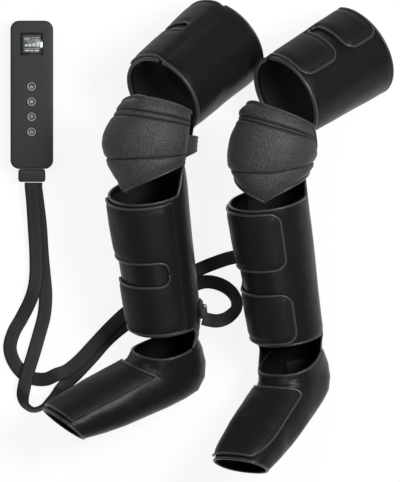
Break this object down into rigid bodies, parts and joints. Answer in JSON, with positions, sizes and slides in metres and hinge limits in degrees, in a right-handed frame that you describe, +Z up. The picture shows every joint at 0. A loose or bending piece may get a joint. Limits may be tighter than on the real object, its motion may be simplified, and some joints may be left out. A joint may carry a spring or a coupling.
{
  "type": "compression leg massager",
  "caption": "Air compression leg massager: wrap-around sleeves for foot, calf, knee and thigh on flat hoses from a hand controller with buttons.",
  "frame": {"origin": "middle of the laid-out set's footprint, on the surface it lies on", "axes": "+Z up from the surface, +Y towards the thigh ends, +X from the controller towards the right-hand leg set"},
  "size_m": [0.6704, 0.808, 0.2854],
  "materials": {
    "cloth": "satin black coated cloth",
    "tab_cloth": "satin black cloth with bound edges",
    "knee_cloth": "soft black knit over foam",
    "liner": "black laminated lining",
    "web": "thin black stretch cloth",
    "connector": "black moulded rubber",
    "hose": "charcoal twin-lumen hose",
    "case": "dark grey satin shell",
    "screen": "black gloss window",
    "display": "display module",
    "button": "dark grey caps",
    "board": "green circuit board",
    "battery": "wrapped cell pack",
    "pump": "plain metal pump can",
    "valve": "pale moulded valve block",
    "tube": "pale inner tube",
    "screw_steel": "plain steel"
  },
  "bodies": {
    "set": {"left_calf_wrap": "cloth", "left_calf_air_chamber": "liner", "left_ankle_gusset": "web", "left_knee_gusset": "web", "left_hose_inlet": "connector", "left_hose_connector": "connector", "hose_to_left_leg": "hose", "right_calf_wrap": "cloth", "right_calf_air_chamber": "liner", "right_ankle_gusset": "web", "right_knee_gusset": "web", "right_hose_inlet": "connector", "right_hose_connector": "connector", "hose_to_right_leg": "hose", "handset_front_cover": "case", "handset_rear_cover": "case", "handset_screw_1": "screw_steel", "handset_screw_2": "screw_steel", "handset_screw_3": "screw_steel", "handset_screw_4": "screw_steel", "handset_screen_lens": "screen", "handset_display_module": "display", "handset_circuit_board": "board", "handset_battery": "battery", "handset_air_pump": "pump", "handset_valve_block": "valve", "handset_manifold_tube": "tube", "hose_plug": "connector"},
    "left_thigh": {"left_thigh_wrap": "cloth", "left_thigh_air_chamber": "liner"},
    "left_thigh_lower_tab": {"left_thigh_lower_tab": "tab_cloth"},
    "left_thigh_upper_tab": {"left_thigh_upper_tab": "tab_cloth"},
    "left_knee": {"left_knee_pad": "knee_cloth", "left_knee_heat_pad": "liner", "left_knee_strap": "tab_cloth"},
    "left_foot": {"left_foot_wrap": "cloth", "left_foot_air_chamber": "liner"},
    "left_foot_flap": {"left_foot_flap": "tab_cloth"},
    "left_calf_lower_tab": {"left_calf_lower_tab": "tab_cloth"},
    "left_calf_upper_tab": {"left_calf_upper_tab": "tab_cloth"},
    "right_thigh": {"right_thigh_wrap": "cloth", "right_thigh_air_chamber": "liner"},
    "right_thigh_lower_tab": {"right_thigh_lower_tab": "tab_cloth"},
    "right_thigh_upper_tab": {"right_thigh_upper_tab": "tab_cloth"},
    "right_knee": {"right_knee_pad": "knee_cloth", "right_knee_heat_pad": "liner", "right_knee_strap": "tab_cloth"},
    "right_foot": {"right_foot_wrap": "cloth", "right_foot_air_chamber": "liner"},
    "right_foot_flap": {"right_foot_flap": "tab_cloth"},
    "right_calf_lower_tab": {"right_calf_lower_tab": "tab_cloth"},
    "right_calf_upper_tab": {"right_calf_upper_tab": "tab_cloth"},
    "button_1": {"handset_button_1": "button"},
    "button_2": {"handset_button_2": "button"},
    "button_3": {"handset_button_3": "button"},
    "button_4": {"handset_button_4": "button"}
  },
  "joints": [
    {"name": "left_knee_bend", "type": "hinge", "parent": "set", "child": "left_thigh", "pos_m": [-0.10077, 0.20864, 0.20818], "axis": [0.766, -0.1453, 0.6262], "range_deg": [0, 40], "deforming": ["left_knee_gusset"]},
    {"name": "left_knee_pad_follow", "type": "hinge", "parent": "set", "child": "left_knee", "pos_m": [-0.10077, 0.20864, 0.20818], "axis": [0.766, -0.1453, 0.6262], "range_deg": [0, 20]},
    {"name": "left_ankle_bend", "type": "hinge", "parent": "set", "child": "left_foot", "pos_m": [-0.05812, -0.18215, 0.06531], "axis": [0.4937, -0.2628, 0.829], "range_deg": [-18, 0], "deforming": ["left_ankle_gusset"]},
    {"name": "left_calf_lower_tab_open", "type": "hinge", "parent": "set", "child": "left_calf_lower_tab", "pos_m": [-0.04041, -0.04981, 0.17225], "axis": [-0.1053, 0.9142, 0.3914], "range_deg": [0, 45]},
    {"name": "left_thigh_lower_tab_open", "type": "hinge", "parent": "left_thigh", "child": "left_thigh_lower_tab", "pos_m": [-0.0112, 0.34346, 0.1727], "axis": [0.5961, 0.5541, -0.5811], "range_deg": [0, 45]},
    {"name": "left_calf_upper_tab_open", "type": "hinge", "parent": "set", "child": "left_calf_upper_tab", "pos_m": [-0.04041, -0.04981, 0.17225], "axis": [-0.1053, 0.9142, 0.3914], "range_deg": [0, 45]},
    {"name": "left_thigh_upper_tab_open", "type": "hinge", "parent": "left_thigh", "child": "left_thigh_upper_tab", "pos_m": [-0.0112, 0.34346, 0.1727], "axis": [0.5961, 0.5541, -0.5811], "range_deg": [0, 45]},
    {"name": "left_foot_flap_open", "type": "hinge", "parent": "left_foot", "child": "left_foot_flap", "pos_m": [-0.13954, -0.2744, 0.13567], "axis": [0.7856, 0.5254, -0.3268], "range_deg": [0, 16]},
    {"name": "right_knee_bend", "type": "hinge", "parent": "set", "child": "right_thigh", "pos_m": [0.10352, 0.195, 0.19934], "axis": [0.6539, -0.1519, 0.7411], "range_deg": [0, 40], "deforming": ["right_knee_gusset"]},
    {"name": "right_knee_pad_follow", "type": "hinge", "parent": "set", "child": "right_knee", "pos_m": [0.10352, 0.195, 0.19934], "axis": [0.6539, -0.1519, 0.7411], "range_deg": [0, 20]},
    {"name": "right_ankle_bend", "type": "hinge", "parent": "set", "child": "right_foot", "pos_m": [0.15165, -0.20163, 0.07558], "axis": [0.8278, -0.0634, 0.5574], "range_deg": [-18, 0], "deforming": ["right_ankle_gusset"]},
    {"name": "right_calf_lower_tab_open", "type": "hinge", "parent": "set", "child": "right_calf_lower_tab", "pos_m": [0.08143, -0.04594, 0.08522], "axis": [0.1663, -0.9406, -0.2961], "range_deg": [0, 45]},
    {"name": "right_thigh_lower_tab_open", "type": "hinge", "parent": "right_thigh", "child": "right_thigh_lower_tab", "pos_m": [0.17105, 0.33015, 0.13129], "axis": [-0.6948, -0.4864, 0.5298], "range_deg": [0, 45]},
    {"name": "right_calf_upper_tab_open", "type": "hinge", "parent": "set", "child": "right_calf_upper_tab", "pos_m": [0.08143, -0.04594, 0.08522], "axis": [0.1663, -0.9406, -0.2961], "range_deg": [0, 45]},
    {"name": "right_thigh_upper_tab_open", "type": "hinge", "parent": "right_thigh", "child": "right_thigh_upper_tab", "pos_m": [0.17105, 0.33015, 0.13129], "axis": [-0.6948, -0.4864, 0.5298], "range_deg": [0, 45]},
    {"name": "right_foot_flap_open", "type": "hinge", "parent": "right_foot", "child": "right_foot_flap", "pos_m": [0.06672, -0.30859, 0.1135], "axis": [-0.427, -0.7459, 0.5112], "range_deg": [0, 16]},
    {"name": "button_1_press", "type": "slide", "parent": "set", "child": "button_1", "axis": [0, 0, -1], "range_m": [0, 0.0006], "stiffness_N_per_m": 900},
    {"name": "button_2_press", "type": "slide", "parent": "set", "child": "button_2", "axis": [0, 0, -1], "range_m": [0, 0.0006], "stiffness_N_per_m": 900},
    {"name": "button_3_press", "type": "slide", "parent": "set", "child": "button_3", "axis": [0, 0, -1], "range_m": [0, 0.0006], "stiffness_N_per_m": 900},
    {"name": "button_4_press", "type": "slide", "parent": "set", "child": "button_4", "axis": [0, 0, -1], "range_m": [0, 0.0006], "stiffness_N_per_m": 900}
  ],
  "couplings": [
    {"joint": "left_knee_pad_follow", "follows": "left_knee_bend", "ratio": 0.5},
    {"joint": "right_knee_pad_follow", "follows": "right_knee_bend", "ratio": 0.5}
  ]
}
